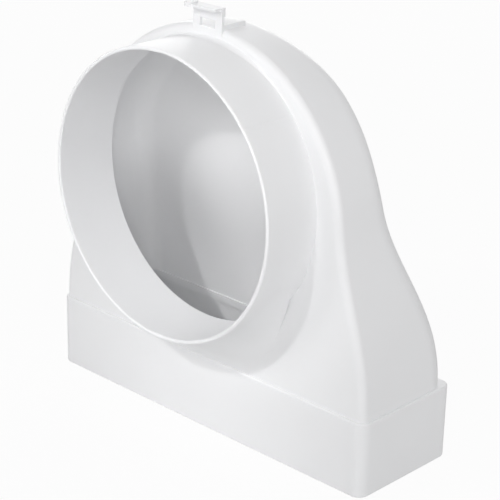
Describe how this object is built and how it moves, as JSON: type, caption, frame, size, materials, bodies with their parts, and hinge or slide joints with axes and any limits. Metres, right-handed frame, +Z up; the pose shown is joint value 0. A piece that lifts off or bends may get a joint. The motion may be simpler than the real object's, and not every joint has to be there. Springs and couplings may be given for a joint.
{
  "type": "duct elbow",
  "caption": "Rigid white plastic elbow that joins a flat 204 x 60 mm duct, in the socket below, to a 150 mm round duct over the spigot in front.",
  "frame": {"origin": "centre of the rectangular socket's mouth, where the part stands", "axes": "+Z up, out of the socket towards the crown; the round spigot points along -Y; +X runs along the socket's long side"},
  "size_m": [0.2094, 0.0954, 0.2137],
  "materials": {
    "white_plastic": "satin"
  },
  "bodies": {
    "root": {"duct_socket": "white_plastic", "duct_stop": "white_plastic", "elbow_body": "white_plastic", "round_spigot": "white_plastic", "fixing_lug": "white_plastic"}
  },
  "joints": []
}
